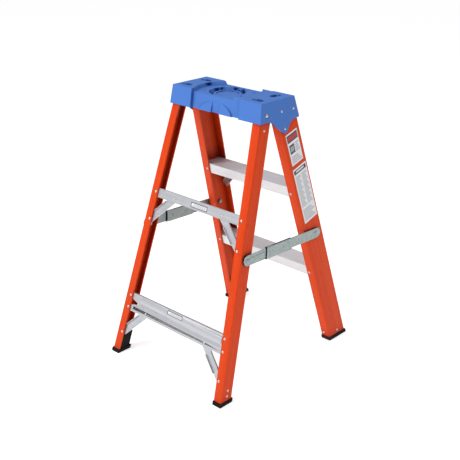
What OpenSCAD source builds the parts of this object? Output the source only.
// Three-foot fibreglass step ladder with a moulded cap, aluminium treads and folding spreaders.
// Frame: +Z up, X left to right, the climbing side faces -Y, the origin is on the floor
// under the middle of the footprint.  Left is the -X side.

/* [Overall] */
// Height of the cap's top above the floor
height = 877; // [860:1:900]
// Depth of the footprint, from front toe to rear heel
footprint = 648; // [640:1:656]

/* [Front rails] */
// Half the width over the front rails at the floor
front_half = 243.4; // [242:0.1:245]
// Narrowing of that half width for each mm of height
front_taper = 0.0745; // [0.074:0.0005:0.075]
// Lean of the front rails' rear face, mm of depth for each mm of height
front_lean = 0.2968; // [0.296:0.0001:0.298]
// Depth of a front rail's web
front_web = 84; // [82:1:84]
// Width of a front rail's flanges
front_flange = 30; // [28:1:32]

/* [Rear rails] */
// Half the width over the rear rails at the floor
rear_half = 248.5; // [248:0.1:249]
// Narrowing of that half width for each mm of height
rear_taper = 0.0816; // [0.081:0.0002:0.083]
// Lean of the rear rails' rear face, mm of depth for each mm of height
rear_lean = 0.2862; // [0.285:0.0001:0.287]
// Depth of a rear rail's web
rear_web = 46; // [44:1:47]
// Width of a rear rail's rear flange
rear_flange = 29; // [27:1:30]
// Width of a rear rail's narrower front flange
rear_front_flange = 18; // [15:1:22]
// Wall of every fibreglass rail
wall = 4; // [3.5:0.1:4.2]
// Height of the pivot that the rear frame folds about
pivot_z = 839.5; // [838:0.5:842]

/* [Cap] */
// Height of the cap's lower edge
skirt_z = 818.6; // [816:0.2:820]
// Half the cap's length at its top
cap_half_top = 182; // [181:0.2:184]
// Half the cap's length at its lower edge
cap_half_low = 187.8; // [187:0.2:189]
// Height that the end blocks stand above the middle platform
block_rise = 10; // [9:0.5:11]
// Radius of the end blocks' concave inner edge
block_r = 105; // [104:1:107]
// Radius of the round tray
tray_r = 58; // [50:1:62]
// Radius of the small round tool holes
hole_r = 4.5; // [4:0.1:6]

/* [Treads] */
// Height of the lower tread's top
lower_tread_top = 294; // [290:1:298]
// Height of the upper tread's top
upper_tread_top = 586; // [582:1:590]
// Height of a tread's slanted skirts
tread_drop = 36; // [32:1:40]
// Thickness of a tread's plates
tread_t = 2.5; // [2:0.1:3]

/* [Rear braces] */
// Lower edge of the narrow upper brace
upper_brace_low = 527; // [524:0.5:529]
// Upper edge of the narrow upper brace
upper_brace_top = 555.5; // [554:0.5:560]
// Lower edge of the wide lower brace
lower_brace_low = 149; // [146:0.5:151]
// Upper edge of the wide lower brace
lower_brace_top = 208.5; // [207:0.5:211]
// Thickness of the brace plates
brace_t = 2; // [1.5:0.1:2.5]
// Width of a knee brace
knee_w = 26; // [22:1:28]

/* [Spreaders] */
// Depth of the spreader's front pivot
spread_front_y = -155; // [-157:0.5:-153]
// Height of the spreader's front pivot
spread_front_z = 416.5; // [414:0.5:419]
// Depth of the spreader's rear pivot
spread_rear_y = 174; // [173:0.5:175]
// Height of the spreader's rear pivot
spread_rear_z = 429; // [427:0.5:431]
// Width of a spreader bar
bar_w = 34; // [28:1:34]
// Thickness of a spreader bar
bar_t = 2.6; // [2:0.1:2.8]
// Radius of the spreader's pivot bolts
bolt_r = 4; // [3:0.1:5]

/* [Feet] */
// Thickness of the rubber under the rails
sole_t = 12; // [8:1:14]
// How far the rubber sole stands out round a rail
sole_lip = 2.5; // [1:0.5:3]
// Height of the boot's top inside the rail
boot_top = 64; // [50:1:70]

/* [Fasteners] */
// Shank radius of the rivets
rivet_r = 2.6; // [2:0.1:3]
// Radius of a rivet's domed head
head_r = 4.4; // [4.2:0.1:5]
// Height of a rivet's domed head
head_h = 2; // [1.5:0.1:2.5]

/* [Hidden] */
$fn = 48;

// Depth of the fold pivot inside a rear rail's rear face
pivot_in = 19;
// Working clearance round a rivet, a bolt or a hinge pin
fit = 0.05;
// Clearance between moving faces, and round a bolt in a rail
gap = 0.4;
rail_hole_gap = 0.25;
// Longer than the whole ladder
far = 1200;

tread_tops = [lower_tread_top, upper_tread_top];
spread_front = [spread_front_y, spread_front_z];
spread_rear = [spread_rear_y, spread_rear_z];

// Lean and splay of the rails as angles, and the slope of their outer faces
front_lean_a = atan(front_lean);
rear_lean_a = atan(rear_lean);
front_splay_a = atan(front_taper * cos(front_lean_a));
rear_splay_a = atan(rear_taper * cos(rear_lean_a));
front_web_a = atan(front_taper);
rear_web_a = atan(rear_taper);

// Sideways slide of a rail's section for each mm of depth
front_skew = front_lean * sin(front_splay_a);
rear_skew = -rear_lean * sin(rear_splay_a);

// Depth of each rail's rear face at the floor
rear_y0 = footprint / 2 - sole_lip;
front_y0 = -footprint / 2 + sole_lip + front_web / cos(front_lean_a);

// Outer half width and rear face of the rails at height z
function front_x(z) = front_half - front_taper * z;
function rear_x(z) = rear_half - rear_taper * z;
function front_y(z) = front_y0 + front_lean * z;
function rear_y(z) = rear_y0 - rear_lean * z;

pivot_y = rear_y(pivot_z) - pivot_in / cos(rear_lean_a);

// Cap outline: rear and front faces at the top and at the lower edge
cap_rear_top = 84;
cap_rear_low = 92;
cap_front_top = -65.5;
cap_front_low = cap_front_top - front_lean * (height - skirt_z);
cap_wall = 4;
cap_plate = 5;
recess_half = 100;
recess_depth = 9;
block_x = recess_half + cap_wall;
block_at = [15, 11];
arch_r = 86.4;
arch_z = 766.6;
arch_rise = 5.5;
arch_slot_half = 16;
arch_slot_top = 851;
platform_z = height - block_rise;
tray_at = [22, 5];
tray_depth = 6;
moat_in = 44;
moat_depth = 13;
front_rail_top = height - 9;
lobe_at = [-16.4, 786.9];
lobe_r = 14;
rear_pocket_y = 24;
rear_pocket_gap = 1.5;
tool_holes = [[85, 42], [85, -44], [-47, 22], [-47, -38]];
tool_slot_at = [-70, -19];
tool_slot = [38, 9];
tool_slot_turn = 74;
pocket_size = [42, 21];
// Pockets for tools: middle and turn
pockets = [[151, 53, 0], [146, -28, 0], [-142, 53, 0], [-144, -24, 80]];
pocket_depth = 11;

// Hinge pins, and the depth of the flat seat under their heads
pin_r = 4;
pin_head_r = 6.5;
pin_seat = 0.8;

// Cap side at height z
function cap_x(z) = cap_half_low + (cap_half_top - cap_half_low) * (z - skirt_z) / (height - skirt_z);

// Slope of the cap's sides, and how far a rivet's head must stand off to clear them
cap_side_a = atan((cap_half_low - cap_half_top) / (height - skirt_z));
cap_rivet_lift = head_r * tan(cap_side_a - front_web_a) + 0.03;

// Side rivets of the cap, as depth and height
cap_rivet_at = [[-4.6, 840.5], [-58.6, 840.6], lobe_at];

// Spreader geometry
spread_vec = spread_rear - spread_front;
spread_len = norm(spread_vec);
spread_a = atan2(spread_vec[1], spread_vec[0]);
spread_mid = (spread_front + spread_rear) / 2;
arm = spread_len / 2;
front_bar_tail = 8;
front_bar_x = front_x(spread_front_z - bar_w / 2 - front_bar_tail) + 0.8;
rear_bar_x = max(front_bar_x + bar_t, rear_x(spread_rear_z - bar_w / 2)) + gap;
sleeve_t = 1.6;
sleeve_w = 37;
sleeve_fore = 39;
sleeve_aft = 80;
sleeve_rivet = 53;
sleeve_web_from = 50;
sleeve_in_x = front_bar_x - 0.3 - sleeve_t;
lip_t = 1.4;
stud_head_r = 4.2;
stud_head_t = 0.8;
stop_len = 3.6;

// ---------- small helpers ----------

// Points of an arc about c, from angle a0 to a1 in n steps
function arc(c, r, a0, a1, n) = [
  for (i = [0:n])
    let (a = a0 + (a1 - a0) * i / n)
      c + r * [cos(a), sin(a)]
];

// A channel open towards -x, its outer rear corner at the origin, with its own width of rear
// and front flange.  skew slides each point sideways with depth, which keeps the web level in
// depth on a rail that both leans and splays.
function channel(depth, flange, front, skew, t = wall, r = 3.5) = [
  for (p = concat(
    [[-flange, -t], [-flange, 0]],
    arc([-r, -r], r, 90, 0, 5),
    arc([-r, -depth + r], r, 0, -90, 5),
    [[-front, -depth], [-front, -depth + t], [-t, -depth + t], [-t, -t]]
  )) [p[0] + skew * p[1], p[1]]
];

// Draw a (y, z) outline and give it thickness t along +X from x
module along_x(x, t) {
  translate([x, 0, 0])
    rotate([90, 0, 90])
      linear_extrude(t)
        children();
}

// Draw an (x, z) outline and give it thickness t along +Y from y
module along_y(y, t) {
  translate([0, y + t, 0])
    rotate([90, 0, 0])
      linear_extrude(t)
        children();
}

// Everything between two heights
module level(z0, z1) {
  translate([-far / 2, -far / 2, z0])
    cube([far, far, z1 - z0]);
}

// The right-hand version (+X) or the left-hand version (-X) of what is drawn at +X
module side(s) {
  if (s > 0) children();
  else mirror([1, 0, 0]) children();
}

module both() {
  side(1) children();
  side(-1) children();
}

// Frames that lie in the rails' rear faces: x across, y out of the face, z up the slope
module in_rear_face(z = 0) {
  translate([0, rear_y(z), z])
    rotate([rear_lean_a, 0, 0])
      children();
}

module in_front_rear_face(z = 0) {
  translate([0, front_y(z), z])
    rotate([-front_lean_a, 0, 0])
      children();
}

module in_front_face(z = 0) {
  translate([0, front_y(z) - front_web / cos(front_lean_a), z])
    rotate([-front_lean_a, 0, 0])
      children();
}

// Rails' own frames: z runs up the rail, x outwards, the outer rear corner is the origin
module in_front_rail() {
  translate([front_half, front_y0, 0])
    rotate([-front_lean_a, 0, 0])
      rotate([0, -front_splay_a, 0])
        children();
}

module in_rear_rail() {
  translate([rear_half, rear_y0, 0])
    rotate([rear_lean_a, 0, 0])
      rotate([0, -rear_splay_a, 0])
        children();
}

// Slab beside a rail's web, in the rail's own frame: from a to b outwards, between depths
// y1 and y2 and heights z1 and z2 along the rail
module web_slab(skew, a, b, y1, y2, z1, z2) {
  translate([0, 0, z1])
    linear_extrude(z2 - z1)
      polygon([for (p = [[a, y1], [b, y1], [b, y2], [a, y2]]) [p[0] + skew * p[1], p[1]]]);
}

// A domed rivet along +Z: the head's underside is at z = 0 and the body runs down to -grip,
// where a flat upset tail closes it
module rivet(grip, r = rivet_r, hr = head_r, hh = head_h, tail_r = 4, tail_h = 1.4) {
  ball = (hr * hr + hh * hh) / (2 * hh);
  intersection() {
    translate([0, 0, hh - ball])
      sphere(ball);
    cylinder(h = hh + 1, r = hr + 1);
  }
  translate([0, 0, -grip - tail_h / 2])
    cylinder(h = grip + tail_h / 2 + 0.5, r = r);
  translate([0, 0, -grip - tail_h])
    cylinder(h = tail_h, r = tail_r);
}

module bore(depth, r = rivet_r) {
  translate([0, 0, -depth])
    cylinder(h = depth + 10, r = r + fit);
}

// ---------- where the fasteners go, drawn for the +X side ----------

// Rivets through the rear rails' rear flanges: children point out of the flange
brace_rivet_at = [[184, 543.5], [211.5, 199.5], [214, 160.5]];
knee_rail_at = [[190.3, 455.8], [221.3, 73]];
knee_brace_at = [[102.8, 538.3], [133.3, 160]];

module at_brace_rivets() {
  for (p = brace_rivet_at)
    in_rear_face(p[1])
      translate([p[0], 0, 0])
        rotate([-90, 0, 0])
          children();
}

module at_knee_rail_rivets() {
  for (p = knee_rail_at)
    in_rear_face(p[1])
      translate([p[0], 0, 0])
        rotate([-90, 0, 0])
          children();
}

module at_knee_brace_rivets() {
  for (p = knee_brace_at)
    in_rear_face(p[1])
      translate([p[0], -wall, 0])
        rotate([-90, 0, 0])
          children();
}

// Rivets through the front rails' flanges into the treads: rear pair and front pair
tread_rivet_drop = 21.5;
tread_rivet_in = 20.7;

module at_tread_rivets() {
  for (top = tread_tops) {
    z = top - tread_rivet_drop;
    in_front_rear_face(z)
      translate([front_x(z) - tread_rivet_in, 0, 0])
        rotate([-90, 0, 0])
          children();
    in_front_face(z)
      translate([front_x(z) - tread_rivet_in, 0, 0])
        rotate([90, 0, 0])
          children();
  }
}

// Knee braces under the treads: rivet points in a tread's front skirt and in a rail's front
// flange, as distance in from the rail's outer face and depth below the tread's top
tread_knee_top = [85, 22];
tread_knee_low = [18, 97];

module at_tread_knee_rivets(p) {
  for (top = tread_tops)
    in_front_face(top - p[1])
      translate([front_x(top - p[1]) - p[0], p == tread_knee_top ? wall : 0, 0])
        rotate([90, 0, 0])
          children();
}

// Foot rivets: two through each rear web; one web and one rear flange rivet in front
rear_foot_z = [43.8, 26.4];
rear_foot_in = 24.5;
front_foot_z = 24.8;
front_foot_in = 48.8;
front_foot_x = 221;

module at_rear_foot_rivets() {
  for (z = rear_foot_z)
    translate([rear_x(z), rear_y(z) - rear_foot_in, z])
      rotate([0, 90 - rear_web_a, 0])
        children();
}

module at_front_foot_rivets() {
  translate([front_x(front_foot_z), front_y(front_foot_z) - front_foot_in, front_foot_z])
    rotate([0, 90 - front_web_a, 0])
      children();
  in_front_rear_face(front_foot_z + 1.5)
    translate([front_foot_x, 0, 0])
      rotate([-90, 0, 0])
        children();
}

module at_cap_rivet(p) {
  translate([cap_x(p[1]), p[0], p[1]])
    rotate([0, 90 - front_web_a, 0])
      children();
}

module at_cap_rivets() {
  for (p = cap_rivet_at)
    at_cap_rivet(p)
      children();
}

module at_pivot() {
  translate([0, pivot_y, pivot_z])
    rotate([0, 90, 0])
      children();
}

// Rivet that holds the hinge bracket inside a rear rail
bracket_rivet_z = 796.5;
bracket_rivet_in = 23.5;

module at_bracket_rivet() {
  translate([rear_x(bracket_rivet_z), rear_y(bracket_rivet_z) - bracket_rivet_in, bracket_rivet_z])
    rotate([0, 90 - rear_web_a, 0])
      children();
}

module at_spreader(p) {
  translate([0, p[0], p[1]])
    rotate([0, 90, 0])
      children();
}

// Bolt hole through a rail, square to its web, whose outer face is at x here and slopes by a
module spreader_hole(p, x, a) {
  translate([x, p[0], p[1]])
    rotate([0, 90 - a, 0])
      cylinder(h = 20, r = bolt_r + rail_hole_gap, center = true);
}

// Hole for the hinge pin, square to the rear rail's web and wide enough for the level pin
module rail_pivot_hole() {
  translate([rear_x(pivot_z) - wall / 2, pivot_y, pivot_z])
    rotate([0, 90 - rear_web_a, 0])
      cylinder(h = 20, r = pin_r + 0.4, center = true);
}

// A long cylinder along +X from x at a spreader pivot or at the middle joint
module spreader_bore(p, r) {
  translate([100, 0, 0])
    at_spreader(p)
      cylinder(h = 200, r = r + fit);
}

// The fold pivot's bore, through whatever stands on the +X side
module pivot_bore() {
  translate([150, 0, 0])
    at_pivot()
      cylinder(h = 60, r = pin_r + fit);
}

// ---------- front frame ----------

// Outline of the side lobe and the front dip of the skirt, as (y, z)
function lobe_outline() = concat(
  [[50, skirt_z + 4], [48, skirt_z - 0.5]],
  arc(lobe_at, lobe_r, -43, -146, 10),
  [[-39.5, 797.5], [-48, 805.5], [-58, 809], [-71, 810.2], [-84, 811], [-84, skirt_z + 4]]
);

module cap_body() {
  intersection() {
    along_x(-far / 2, far)
      polygon([
        [cap_front_low, skirt_z], [cap_rear_low, skirt_z],
        [cap_rear_top, height], [cap_front_top, height]
      ]);
    along_y(-far / 2, far)
      polygon([
        [-cap_half_low, skirt_z], [cap_half_low, skirt_z],
        [cap_half_top, height], [-cap_half_top, height]
      ]);
  }
  // side lobes, and the dip of the skirt over the front rails
  both()
    intersection() {
      along_x(100, 120)
        polygon(lobe_outline());
      along_x(100, 120)
        polygon([
          [cap_front_low - front_lean * 60, skirt_z - 60], [60, skirt_z - 60],
          [60, height], [cap_front_low + front_lean * 30, skirt_z + 30]
        ]);
      along_y(-far / 2, far)
        polygon([
          [front_x(skirt_z - 60), skirt_z - 60], [cap_x(skirt_z - 60), skirt_z - 60],
          [cap_x(skirt_z + 6), skirt_z + 6], [front_x(skirt_z + 6), skirt_z + 6]
        ]);
    }
}

// Everything in a band of depth d inside the rear face (s = 1) or the front face (s = -1)
module face_band(s, d) {
  low = s > 0 ? cap_rear_low : cap_front_low;
  top = s > 0 ? cap_rear_top : cap_front_top;
  k = (top - low) / (height - skirt_z);
  z0 = skirt_z - 20;
  z1 = height + 20;
  y0 = low + k * (z0 - skirt_z);
  y1 = low + k * (z1 - skirt_z);
  polygon([[y0 - s * d, z0], [y1 - s * d, z1], [y1 + s * 30, z1], [y0 + s * 30, z0]]);
}

// Depth of the rear face at height z, and the arched pad's (y, z) section
function cap_rear(z) = cap_rear_low + (cap_rear_top - cap_rear_low) * (z - skirt_z) / (height - skirt_z);

module arch_wedge() {
  top = arch_z + arch_r;
  polygon([
    [cap_rear(skirt_z - 1) - recess_depth - 2, skirt_z - 1],
    [cap_rear(skirt_z - 1) - recess_depth + arch_rise, skirt_z - 1],
    [cap_rear(top) - recess_depth, top],
    [cap_rear(top) - recess_depth - 2, top]
  ]);
}

module cap_recesses() {
  // middle platform, bounded by the end blocks' concave edges
  translate([block_at[0], block_at[1], platform_z])
    cylinder(h = 50, r = block_r, $fn = 96);
  // rear face: a recess that leaves an arched pad, which stands out more towards its foot
  difference() {
    along_x(-recess_half, 2 * recess_half)
      face_band(1, recess_depth);
    intersection() {
      translate([0, far / 2, arch_z])
        rotate([90, 0, 0])
          cylinder(h = far, r = arch_r, $fn = 96);
      along_x(-recess_half, 2 * recess_half)
        arch_wedge();
    }
  }
  // slot that splits the pad, open below
  intersection() {
    along_x(-arch_slot_half, 2 * arch_slot_half)
      face_band(1, recess_depth);
    level(0, arch_slot_top);
  }
  // front face: a plain shallow recess
  along_x(-recess_half, 2 * recess_half)
    face_band(-1, recess_depth / 2);
}

module pocket_shape(size) {
  r = size[1] / 2;
  square([size[0] - 2 * r, size[1]], center = true);
  for (s = [-1, 1])
    translate([s * (size[0] / 2 - r), 0])
      circle(r);
}

module cap_pockets(grow, floor_t) {
  for (p = pockets)
    translate([p[0], p[1], height - pocket_depth - floor_t])
      rotate([0, 0, p[2]])
        linear_extrude(pocket_depth + floor_t + (grow > 0 ? -1 : 5))
          pocket_shape(pocket_size + [2 * grow, 2 * grow]);
}

// Hollow inside the cap
module cap_hollow() {
  difference() {
    union() {
      // middle, between the recessed faces
      intersection() {
        along_x(-block_x, 2 * block_x)
          difference() {
            translate([-300, skirt_z - 60])
              square([600, height - cap_plate - skirt_z + 60]);
            face_band(1, recess_depth + cap_wall);
            face_band(-1, recess_depth / 2 + cap_wall);
          }
        level(skirt_z - 60, height);
      }
      // ends, up to the side walls and the rails' webs
      both()
        intersection() {
          along_x(block_x, far)
            difference() {
              translate([-300, skirt_z - 60])
                square([600, height - cap_plate - skirt_z + 60]);
              face_band(1, cap_wall - 0.5);
              face_band(-1, 3.5);
            }
          union() {
            along_y(-far / 2, far)
              polygon([
                [0, skirt_z - 60], [front_x(skirt_z - 60), skirt_z - 60],
                [front_x(height), height], [0, height]
              ]);
            along_y(rear_pocket_y, far)
              polygon([
                [0, skirt_z - 60], [front_x(skirt_z - 60) + rear_pocket_gap, skirt_z - 60],
                [front_x(height) + rear_pocket_gap, height], [0, height]
              ]);
          }
        }
    }
    // the platform's plate and the blocks' inner walls stay solid
    translate([block_at[0], block_at[1], platform_z - cap_plate])
      cylinder(h = 100, r = block_r + cap_wall, $fn = 96);
    // floor and wall under the tray, and cups round the tool pockets
    translate([tray_at[0], tray_at[1], platform_z - moat_depth - 3])
      cylinder(h = 50, r = tray_r + 3);
    cap_pockets(2.5, 2.5);
  }
}

module tray_cut() {
  translate([tray_at[0], tray_at[1], platform_z - tray_depth])
    cylinder(h = 30, r = tray_r, $fn = 96);
  // ring-shaped moat inside the tray's wall, crossed by low bridges
  difference() {
    translate([tray_at[0], tray_at[1], platform_z - moat_depth])
      cylinder(h = moat_depth, r = tray_r, $fn = 96);
    translate([tray_at[0], tray_at[1], platform_z - moat_depth - 1])
      cylinder(h = moat_depth, r = moat_in, $fn = 96);
    for (a = [25, 85, 145])
      translate([tray_at[0], tray_at[1], platform_z - moat_depth - 1])
        rotate([0, 0, a])
          translate([-tray_r - 5, -2, 0])
            cube([2 * tray_r + 10, 4, moat_depth - tray_depth - 1]);
  }
  // dish in the middle
  translate([tray_at[0], tray_at[1], platform_z - tray_depth - 2])
    cylinder(h = 10, r = moat_in - 8, $fn = 64);
}

module top_cap() {
  color("royalblue")
    difference() {
      cap_body();
      cap_recesses();
      cap_hollow();
      tray_cut();
      cap_pockets(0, 0);
      for (p = tool_holes)
        translate([p[0], p[1], platform_z - 2 * cap_plate])
          cylinder(h = 40, r = hole_r);
      translate([tool_slot_at[0], tool_slot_at[1], platform_z - 2 * cap_plate])
        rotate([0, 0, tool_slot_turn])
          linear_extrude(40)
            pocket_shape(tool_slot);
      both() {
        at_cap_rivets()
          bore(30);
        pivot_bore();
        // flat seat for the hinge pin's head
        translate([cap_x(pivot_z) - pin_seat, 0, 0])
          at_pivot()
            cylinder(h = 10, r = pin_head_r + 0.5);
      }
    }
}

module front_rail(s) {
  color("orangered")
    side(s)
      difference() {
        intersection() {
          in_front_rail()
            translate([0, 0, -60])
              linear_extrude(far)
                polygon(channel(front_web, front_flange, front_flange, front_skew));
          level(sole_t, front_rail_top);
        }
        at_cap_rivets()
          bore(30);
        at_tread_rivets()
          bore(10);
        at_tread_knee_rivets(tread_knee_low)
          bore(10);
        at_front_foot_rivets()
          bore(10);
        spreader_hole(spread_front, front_x(spread_front_z), front_web_a);
      }
}

// Ridged top line of a tread, from its rear edge to its front edge, as (y, z)
function tread_ridges(y_rear, y_front, z, n, h) = [
  for (i = [0:n - 1])
    for (p = [[0.12, 0], [0.3, h], [0.7, h], [0.88, 0]])
      [y_rear + (y_front - y_rear) * (i + p[0]) / n, z + p[1]]
];

module tread(top) {
  ridge = 1;
  deck = top - ridge;
  low = top - tread_drop;
  t = tread_t / cos(front_lean_a);
  lip = 9;
  // outer line of each skirt at height z, just inside the rails' flanges
  function rear(z) = front_y(z) - wall / cos(front_lean_a) - fit;
  function front(z) = front_y(z) - (front_web - wall) / cos(front_lean_a) + fit;
  color("gainsboro")
    difference() {
      intersection() {
        along_x(-far / 2, far)
          polygon(concat(
            tread_ridges(rear(deck) - 1, front(deck) + 1, deck, 15, ridge),
            [
              [front(deck), deck], [front(low), low], [front(low) + lip, low],
              [front(low + tread_t) + lip, low + tread_t],
              [front(low + tread_t) + t, low + tread_t],
              [front(deck - tread_t) + t, deck - tread_t],
              [rear(deck - tread_t) - t, deck - tread_t],
              [rear(low + tread_t) - t, low + tread_t],
              [rear(low + tread_t) - lip, low + tread_t],
              [rear(low) - lip, low], [rear(low), low], [rear(deck), deck]
            ]
          ));
        along_y(-far / 2, far)
          polygon([
            for (p = [[-1, low], [1, low], [1, top], [-1, top]])
              [p[0] * (front_x(p[1]) - wall - 0.4), p[1]]
          ]);
      }
      both() {
        at_tread_rivets()
          bore(10);
        at_tread_knee_rivets(tread_knee_top)
          bore(10);
        // clearance in the front skirt's lip for the knee brace
        in_tread_knee(top)
          translate([-12, -knee_w / 2 - 0.4, -tread_knee_lip - 1])
            cube([60, knee_w + 0.8, tread_knee_lip + brace_t + 1.08]);
      }
    }
}

// Points across and up the front face where a tread's knee brace is riveted
function knee_top_point(top) =
  let (z = top - tread_knee_top[1])
    [front_x(z) - tread_knee_top[0], z / cos(front_lean_a)];
function knee_low_point(top) =
  let (z = top - tread_knee_low[1])
    [front_x(z) - tread_knee_low[0], z / cos(front_lean_a)];

// Depth of a tread knee brace's lips
tread_knee_lip = 8;

// Frame of a tread's knee brace: x runs down the brace from its upper rivet, and the plate lies
// from z = 0 to z = brace_t, which faces the front
module in_tread_knee(top) {
  a = knee_top_point(top);
  dir = knee_low_point(top) - a;
  in_front_face()
    translate([0, wall + tread_t + 0.15, 0])
      rotate([90, 0, 0])
        translate([a[0], a[1], -brace_t])
          rotate([0, 0, atan2(dir[1], dir[0])])
            children();
}

// Knee brace from a tread's front skirt down to the rail's front flange
module tread_knee_brace(top, s) {
  len = norm(knee_low_point(top) - knee_top_point(top));
  color("silver")
    side(s)
      difference() {
        in_tread_knee(top) {
          translate([-10, -knee_w / 2, 0])
            cube([len + 20, knee_w, brace_t]);
          for (e = [-1, 1])
            translate([12, e * (knee_w - brace_t) / 2 - brace_t / 2, -tread_knee_lip])
              cube([len - 24, brace_t, tread_knee_lip + 0.5]);
        }
        at_tread_knee_rivets(tread_knee_top)
          bore(14);
        at_tread_knee_rivets(tread_knee_low)
          bore(14);
        along_y(-far / 2, far)
          polygon([
            [front_x(0) - wall - 1, 0], [front_x(0) + 50, 0],
            [front_x(700) + 50, 700], [front_x(700) - wall - 1, 700]
          ]);
      }
}

// Rubber boot: a sole under the rail and a block inside its channel.  outline is the rail's
// outer rectangle in its own frame.
module boot_block(web, flange, skew, inner) {
  m = inner ? -wall - 0.3 : sole_lip;
  open = inner ? 0 : sole_lip;
  web_slab(skew, m, -flange - open, m, -web - m, -60, 140);
}

module boot(web, flange, skew, inner) {
  if (skew > 0)
    in_front_rail()
      boot_block(web, flange, skew, inner);
  else
    in_rear_rail()
      boot_block(web, flange, skew, inner);
}

module boot_pair(web, flange, skew) {
  intersection() {
    boot(web, flange, skew, false);
    level(0, sole_t);
  }
  intersection() {
    boot(web, flange, skew, true);
    level(sole_t - 1, boot_top);
  }
}

module front_foot(s) {
  color("black")
    side(s)
      difference() {
        boot_pair(front_web, front_flange, front_skew);
        at_front_foot_rivets()
          bore(22);
        sole_grooves(front_y0 - front_web - 20, 10);
      }
}

module rear_foot(s) {
  color("black")
    side(s)
      difference() {
        boot_pair(rear_web, rear_flange, rear_skew);
        at_rear_foot_rivets()
          bore(22);
        sole_grooves(rear_y0 - rear_web - 4, 5);
      }
}

// Shallow grooves across a sole, every 9 mm from y
module sole_grooves(y, n) {
  for (i = [1:n])
    translate([150, y + 9 * i, -1])
      cube([150, 2.5, 2.2]);
}

module cap_rivets() {
  color("silver")
    both()
      for (p = cap_rivet_at)
        at_cap_rivet(p)
          translate([0, 0, cap_rivet_lift])
            rivet(cap_x(p[1]) - front_x(p[1]) + wall + cap_rivet_lift + 0.3);
}

module tread_rivets() {
  color("silver")
    both()
      at_tread_rivets()
        rivet(wall + tread_t + 0.1);
}

module tread_brace_rivets() {
  color("silver")
    both() {
      at_tread_knee_rivets(tread_knee_top)
        rivet(tread_t + brace_t + 0.2);
      at_tread_knee_rivets(tread_knee_low)
        rivet(wall + tread_t + brace_t + 0.2);
    }
}

module front_foot_rivets() {
  color("silver")
    both()
      at_front_foot_rivets()
        rivet(20, tail_r = rivet_r, tail_h = 0.5);
}

// Hinge pins through the cap's side walls, on which the rear rails turn
module hinge_pins() {
  x0 = rear_x(pivot_z) - wall - bracket_t - 3;
  x1 = cap_x(pivot_z) - pin_seat;
  color("silver")
    both() {
      translate([x0, 0, 0])
        at_pivot()
          cylinder(h = x1 - x0, r = pin_r);
      translate([x1 + 0.05, 0, 0])
        at_pivot()
          rivet(0.4, r = pin_r, hr = pin_head_r, hh = 2.8, tail_r = pin_r, tail_h = 0.1);
      translate([x0 - 1.8, 0, 0])
        at_pivot()
          cylinder(h = 1.8, r = 7);
    }
}

// Spreader bolts: shank through the bar and the rail, low domed head outside
module spreader_bolt(p, x_bar, x_rail) {
  x_in = x_rail - wall - 9;
  x_out = x_bar + bar_t + 0.2;
  translate([x_in, 0, 0])
    at_spreader(p)
      cylinder(h = x_out - x_in, r = bolt_r);
  translate([x_out, 0, 0])
    at_spreader(p)
      rivet(0.3, r = bolt_r, hr = 8, hh = 2, tail_r = bolt_r, tail_h = 0.1);
}

module spreader_nut(p, x_rail) {
  difference() {
    translate([x_rail - wall - 6.2, 0, 0])
      at_spreader(p)
        cylinder(h = 5.5, r = 7.5, $fn = 6);
    translate([x_rail - wall - 40, 0, 0])
      at_spreader(p)
        cylinder(h = 60, r = bolt_r + 0.02);
  }
}

// Round spacer between a rail's splayed web and an upright bar, cut to the web's slope
module spreader_spacer(p, x_bar, half, taper, r) {
  difference() {
    translate([half - taper * p[1] - 3, 0, 0])
      at_spreader(p)
        cylinder(h = x_bar - 0.15 - (half - taper * p[1] - 3), r = r);
    along_y(-far / 2, far)
      polygon([[0, 300], [half - taper * 300 + 0.02, 300], [half - taper * 600 + 0.02, 600], [0, 600]]);
    spreader_bore(p, bolt_r);
  }
}

module front_spreader_bolts() {
  color("silver")
    both()
      spreader_bolt(spread_front, front_bar_x, front_x(spread_front_z));
}

module front_spreader_nuts() {
  color("silver")
    both()
      spreader_nut(spread_front, front_x(spread_front_z));
}

module front_spreader_washers() {
  color("dimgray")
    both()
      spreader_spacer(spread_front, front_bar_x, front_half, front_taper, 12);
}

// Labels: thin stickers on the outer web of the left front rail, as depth and height ranges
// along the rail
label_t = 0.3;
label_upper = [-15, -70, 686, 792];
label_lower = [-12, -77, 476.5, 673];

module rail_label(r) {
  color("white")
    side(-1)
      in_front_rail()
        web_slab(front_skew, 0.02, label_t, r[0], r[1], r[2], r[3]);
}

// ---------- rear frame ----------

module rear_rail(s) {
  color("orangered")
    side(s)
      difference() {
        intersection() {
          in_rear_rail()
            translate([0, 0, -60])
              linear_extrude(far)
                polygon(channel(rear_web, rear_flange, rear_front_flange, rear_skew));
          level(sole_t, height);
          // rounded top, centred on the middle of the web
          translate([-far / 2, pivot_y, pivot_z])
            rotate([rear_lean_a, 0, 0]) {
              translate([0, -100, -far])
                cube([far, 200, far]);
              translate([0, pivot_in - rear_web / 2, 0])
                rotate([0, 90, 0])
                  cylinder(h = far, r = rear_web / 2);
            }
        }
        at_brace_rivets()
          bore(10);
        at_knee_rail_rivets()
          bore(10);
        at_rear_foot_rivets()
          bore(10);
        at_bracket_rivet()
          bore(10);
        rail_pivot_hole();
        spreader_hole(spread_rear, rear_x(spread_rear_z), rear_web_a);
      }
}

// Place something at height z in a plate against the inside of the rear flanges
module in_brace_plane() {
  translate([0, rear_y0, 0])
    rotate([rear_lean_a, 0, 0])
      children();
}

// Slope length of a height on the rear face
function up(z) = z / cos(rear_lean_a);

// A wall of a brace: (x, slope) outline, from depth a to depth b inside the rear face
module plate(a, b) {
  in_brace_plane()
    translate([0, -a, 0])
      rotate([90, 0, 0])
        linear_extrude(b - a)
          children();
}

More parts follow.
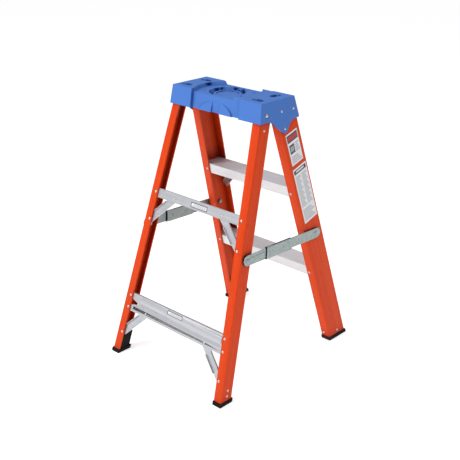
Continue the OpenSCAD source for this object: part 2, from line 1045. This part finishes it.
// Straight-sided outline that stops short of the rails' webs, less m
module brace_outline(z0, z1, m) {
  polygon([
    for (p = [[-1, z0], [1, z0], [1, z1], [-1, z1]])
      [p[0] * (rear_x(p[1]) - wall - m), up(p[1])]
  ]);
}

module rear_upper_brace() {
  lip = 9;
  z0 = upper_brace_low;
  z1 = upper_brace_top;
  color("lightgray")
    difference() {
      union() {
        plate(wall, wall + brace_t)
          brace_outline(z0, z1, 3);
        for (z = [z0, z1 - brace_t])
          plate(wall, wall + lip)
            brace_outline(z, z + brace_t, rear_flange);
      }
      both() {
        at_brace_rivets()
          bore(12);
        at_knee_brace_rivets()
          bore(12);
        knee_clearance(0);
      }
    }
}

// End notch of the lower brace, as an (x, slope) outline at +X
module brace_notch(zc) {
  x1 = rear_x(zc);
  translate([0, up(zc)])
    polygon(concat(
      [[x1 + 20, 13], [x1 - rear_flange - 6, 10]],
      arc([x1 - rear_flange - 25, 0], 5, 60, 300, 8),
      [[x1 - rear_flange - 6, -9], [x1 + 20, -12]]
    ));
}

// Rolled band along the lower brace: radius, how far it stands out, and its middle height
band_r = 52;
band_rise = 2.2;
band_z = lower_brace_top - 17;
band_half = 15;

// A cylinder along X whose surface is the band's, plus grow
module band_cylinder(grow) {
  in_brace_plane()
    translate([-far / 2, band_rise - wall - band_r, up(band_z)])
      rotate([0, 90, 0])
        cylinder(h = far, r = band_r + grow, $fn = 180);
}

module rear_lower_brace() {
  lip = 10;
  z0 = lower_brace_low;
  z1 = lower_brace_top;
  bead_z = [z0 + 6, z0 + 18, z0 + 23];
  band_end = rear_x(z1) - rear_flange - 3;
  band_end_notched = band_end - 38;
  color("lightgray")
    difference() {
      union() {
        plate(wall, wall + brace_t)
          difference() {
            brace_outline(z0, z1, 3);
            brace_notch((z0 + z1) / 2);
          }
        for (z = [z0, z1 - brace_t])
          plate(wall, wall + lip)
            brace_outline(z, z + brace_t, rear_flange);
        // beads rolled into the outer face, and a rounded band above them
        for (z = bead_z)
          plate(wall - 1, wall + 0.5)
            brace_outline(z, z + 2, rear_flange + 8);
        intersection() {
          band_cylinder(0);
          plate(0, wall + 0.5)
            translate([-band_end, up(band_z) - band_half])
              square([band_end + band_end_notched, 2 * band_half]);
        }
      }
      both() {
        at_brace_rivets()
          bore(12);
        at_knee_brace_rivets() {
          bore(12);
          translate([0, 0, 0.02])
            cylinder(h = 8, r = head_r + 0.5);
        }
        knee_clearance(1);
      }
    }
}

// Frame of a rear knee brace, flat in the brace plane: x runs down it from its upper rivet
knee_back = wall + brace_t + 0.1;
knee_lip = 4.5;

function knee_point(p) = [p[0], up(p[1])];

module knee_plate(i, a, b) {
  from = knee_point(knee_brace_at[i]);
  dir = knee_point(knee_rail_at[i]) - from;
  plate(a, b)
    translate(from)
      rotate(atan2(dir[1], dir[0]))
        children();
}

// Room in a brace's lower lip for the knee brace that passes through it
module knee_clearance(i) {
  knee_plate(i, knee_back - 0.07, knee_back + 20)
    translate([-12, -knee_w / 2 - 0.4])
      square([60, knee_w + 0.8]);
}

// Knee brace: a channel from the brace down to the rail's rear flange, flat at both ends, with
// its lips turned to the rear
module knee_brace(i, s) {
  len = norm(knee_point(knee_rail_at[i]) - knee_point(knee_brace_at[i]));
  color("lightgray")
    side(s)
      difference() {
        intersection() {
          union() {
            knee_plate(i, knee_back, knee_back + brace_t)
              translate([-11, -knee_w / 2])
                square([len + 22, knee_w]);
            for (e = [-1, 1])
              knee_plate(i, knee_back - knee_lip, knee_back + 0.5)
                translate([34, e * (knee_w - brace_t) / 2 - brace_t / 2])
                  square([len - 64, brace_t]);
          }
          // clear of the rail's web and of the rubber boot
          along_y(-far / 2, far)
            polygon([
              [0, boot_top + 0.6], [rear_x(boot_top) - wall - 1, boot_top + 0.6],
              [rear_x(700) - wall - 1, 700], [0, 700]
            ]);
        }
        at_knee_brace_rivets()
          bore(14);
        at_knee_rail_rivets()
          bore(14);
        at_brace_rivets()
          translate([0, 0, -20])
            cylinder(h = 19, r = 6);
      }
}

// Steel plate inside the rear rail's web that carries the hinge pin
bracket_t = 2;

module hinge_bracket(s) {
  z_low = 782;
  color("silver")
    side(s)
      difference() {
        intersection() {
          in_rear_rail()
            web_slab(
              rear_skew, -wall - bracket_t - 0.05, -wall - 0.05,
              11 - pivot_in, -11 - pivot_in, up(z_low), up(pivot_z) + 20
            );
          union() {
            level(0, pivot_z);
            at_pivot()
              cylinder(h = far, r = 11);
          }
        }
        at_bracket_rivet()
          bore(12);
        pivot_bore();
      }
}

// Thin washers that keep the rear rails clear of the cap
module hinge_washers() {
  x0 = rear_x(pivot_z - 9) + 0.15;
  color("dimgray")
    both()
      difference() {
        translate([x0, 0, 0])
          at_pivot()
            cylinder(h = 0.7, r = 9);
        pivot_bore();
      }
}

module brace_rivets() {
  color("silver")
    both()
      at_brace_rivets()
        rivet(wall + brace_t + 0.1);
}

module knee_brace_rivets() {
  color("silver")
    both() {
      at_knee_rail_rivets()
        rivet(wall + 2 * brace_t + 0.3);
      at_knee_brace_rivets()
        rivet(2 * brace_t + 0.3);
    }
}

module rear_foot_rivets() {
  color("silver")
    both()
      at_rear_foot_rivets()
        rivet(20, tail_r = rivet_r, tail_h = 0.5);
}

module bracket_rivets() {
  color("silver")
    both()
      at_bracket_rivet()
        rivet(wall + bracket_t + 0.2);
}

module rear_spreader_bolts() {
  color("silver")
    both()
      spreader_bolt(spread_rear, rear_bar_x, rear_x(spread_rear_z));
}

module rear_spreader_nuts() {
  color("silver")
    both()
      spreader_nut(spread_rear, rear_x(spread_rear_z));
}

module rear_spreader_spacers() {
  color("black")
    both()
      spreader_spacer(spread_rear, rear_bar_x, rear_half, rear_taper, 17);
}

// Flat sticker on the upper brace, and one that follows the lower brace's band
module brace_label_upper() {
  color("white")
    plate(wall - label_t, wall - 0.02)
      translate([-42, up(532.5)])
        square([69.5, 16]);
}

module brace_label_lower() {
  color("white")
    intersection() {
      difference() {
        band_cylinder(label_t);
        band_cylinder(0.02);
      }
      plate(0, wall)
        translate([-28.7, up(band_z)])
          square([66.7, band_half - 1]);
    }
}

// ---------- spreaders, drawn for the +X side at rest ----------

// Frame whose x runs forwards-to-back along the bars from p, and whose z is +X
module on_bar(p, x) {
  translate([x, p[0], p[1]])
    rotate([90, 0, 90])
      rotate([0, 0, spread_a])
        children();
}

module bar_shape(x0, x1, w) {
  r = w / 2;
  translate([x0, -r])
    square([x1 - x0, w]);
  for (x = [x0, x1])
    translate([x, 0])
      circle(r);
}

module spreader_front_bar(s) {
  color("darkgray")
    side(s)
      difference() {
        on_bar(spread_front, front_bar_x)
          linear_extrude(bar_t)
            bar_shape(-front_bar_tail, arm, bar_w);
        spreader_bore(spread_front, bolt_r);
        spreader_bore(spread_mid, rivet_r);
        on_bar(spread_mid, front_bar_x - 1)
          cylinder(h = 1 + stud_head_t + fit, r = stud_head_r + fit);
      }
}

// Rear bar, with a rolled rib along its outer face
module spreader_rear_bar(s) {
  color("darkgray")
    side(s)
      difference() {
        on_bar(spread_mid, rear_bar_x) {
          linear_extrude(bar_t)
            bar_shape(0, arm, bar_w);
          translate([sleeve_aft + 8, 3.5, bar_t - 1])
            cube([arm - sleeve_aft - 24, 4, 1.9]);
        }
        spreader_bore(spread_rear, bolt_r);
        for (d = [0, sleeve_rivet])
          on_bar(spread_mid, 0)
            translate([d, 0, 100])
              cylinder(h = 200, r = rivet_r + fit);
      }
}

// Sleeve folded round the joint: an outer plate with a lip over the rear bar's top edge, and
// an inner plate that hangs from the web behind the joint
module spreader_sleeve(s) {
  x = rear_bar_x + bar_t + 0.02;
  length = sleeve_fore + sleeve_aft;
  color("darkgray")
    side(s)
      difference() {
        union() {
          for (x1 = [x, sleeve_in_x])
            on_bar(spread_mid, x1)
              translate([-sleeve_fore, -sleeve_w / 2, 0])
                cube([length, sleeve_w, sleeve_t]);
          on_bar(spread_mid, x - bar_t)
            translate([-sleeve_fore, sleeve_w / 2 - lip_t, 0])
              cube([length, lip_t, bar_t + 0.5]);
          on_bar(spread_mid, sleeve_in_x)
            translate([sleeve_web_from, sleeve_w / 2 - lip_t, 0])
              cube([sleeve_aft - sleeve_web_from, lip_t, x - sleeve_in_x + 0.5]);
        }
        for (d = [0, sleeve_rivet])
          on_bar(spread_mid, 0)
            translate([d, 0, 100])
              cylinder(h = 200, r = rivet_r + fit);
      }
}

// Black stop round the rear bar, behind the sleeve, with a knob on top
module spreader_stop(s) {
  t = 1.5;
  half = bar_w / 2 + 0.05;
  color("black")
    side(s)
      on_bar(spread_mid, rear_bar_x)
        translate([sleeve_aft + 0.1, 0, 0]) {
          difference() {
            translate([0, -half - t, -t])
              cube([stop_len, 2 * half + 2 * t, bar_t + 2 * t]);
            translate([-1, -half, -0.05])
              cube([stop_len + 2, 2 * half, bar_t + 0.1]);
          }
          translate([stop_len / 2, half + t + 1, -t])
            cylinder(h = bar_t + 2 * t, r = stop_len / 2);
        }
}

// Rivets of the sleeve: one holds it to the rear bar, the other is the outer half of the middle
// joint, with the joint's inner head in the sleeve's inner plate
module sleeve_rivets(s) {
  x = rear_bar_x + bar_t + sleeve_t + 0.04;
  color("silver")
    side(s) {
      on_bar(spread_mid, x)
        rivet(bar_t + sleeve_t - 0.1, hh = 1.2, tail_r = rivet_r, tail_h = 0.1);
      on_bar(spread_mid, x)
        translate([sleeve_rivet, 0, 0])
          rivet(x - sleeve_in_x + 0.04, hh = 1.2, tail_r = 4.5, tail_h = 1);
      on_bar(spread_mid, sleeve_in_x - 0.04)
        mirror([0, 0, 1])
          rivet(sleeve_t, r = rivet_r, hr = 4.5, hh = 1, tail_r = rivet_r, tail_h = 0.1);
    }
}

// Middle part of the joint: a stud let into the front bar, flush on the inner side
module bar_pivot_stud(s) {
  color("silver")
    side(s)
      on_bar(spread_mid, front_bar_x) {
        cylinder(h = stud_head_t, r = stud_head_r);
        cylinder(h = bar_t + 0.25, r = rivet_r);
      }
}

top_cap();
front_rail(-1);  // front_rail_left
front_rail(1);  // front_rail_right
tread(tread_tops[1]);  // upper_tread
tread(tread_tops[0]);  // lower_tread
tread_knee_brace(tread_tops[1], -1);  // tread_knee_brace_upper_left
tread_knee_brace(tread_tops[1], 1);  // tread_knee_brace_upper_right
tread_knee_brace(tread_tops[0], -1);  // tread_knee_brace_lower_left
tread_knee_brace(tread_tops[0], 1);  // tread_knee_brace_lower_right
front_foot(-1);  // front_foot_left
front_foot(1);  // front_foot_right
cap_rivets();
tread_rivets();
tread_brace_rivets();
front_foot_rivets();
hinge_pins();
front_spreader_bolts();
front_spreader_nuts();
front_spreader_washers();
rail_label(label_upper);  // rail_label_upper
rail_label(label_lower);  // rail_label_lower
rear_rail(-1);  // rear_rail_left
rear_rail(1);  // rear_rail_right
rear_upper_brace();
rear_lower_brace();
knee_brace(0, -1);  // upper_knee_brace_left
knee_brace(0, 1);  // upper_knee_brace_right
knee_brace(1, -1);  // lower_knee_brace_left
knee_brace(1, 1);  // lower_knee_brace_right
rear_foot(-1);  // rear_foot_left
rear_foot(1);  // rear_foot_right
hinge_bracket(-1);  // hinge_bracket_left
hinge_bracket(1);  // hinge_bracket_right
hinge_washers();
brace_rivets();
knee_brace_rivets();
rear_foot_rivets();
bracket_rivets();
rear_spreader_bolts();
rear_spreader_nuts();
rear_spreader_spacers();
brace_label_upper();
brace_label_lower();
spreader_front_bar(-1);  // spreader_front_bar_left
spreader_front_bar(1);  // spreader_front_bar_right
spreader_rear_bar(-1);  // spreader_rear_bar_left
spreader_rear_bar(1);  // spreader_rear_bar_right
spreader_sleeve(-1);  // spreader_sleeve_left
spreader_sleeve(1);  // spreader_sleeve_right
spreader_stop(-1);  // spreader_stop_left
spreader_stop(1);  // spreader_stop_right
sleeve_rivets(-1);  // sleeve_rivets_left
sleeve_rivets(1);  // sleeve_rivets_right
bar_pivot_stud(-1);  // bar_pivot_stud_left
bar_pivot_stud(1);  // bar_pivot_stud_right
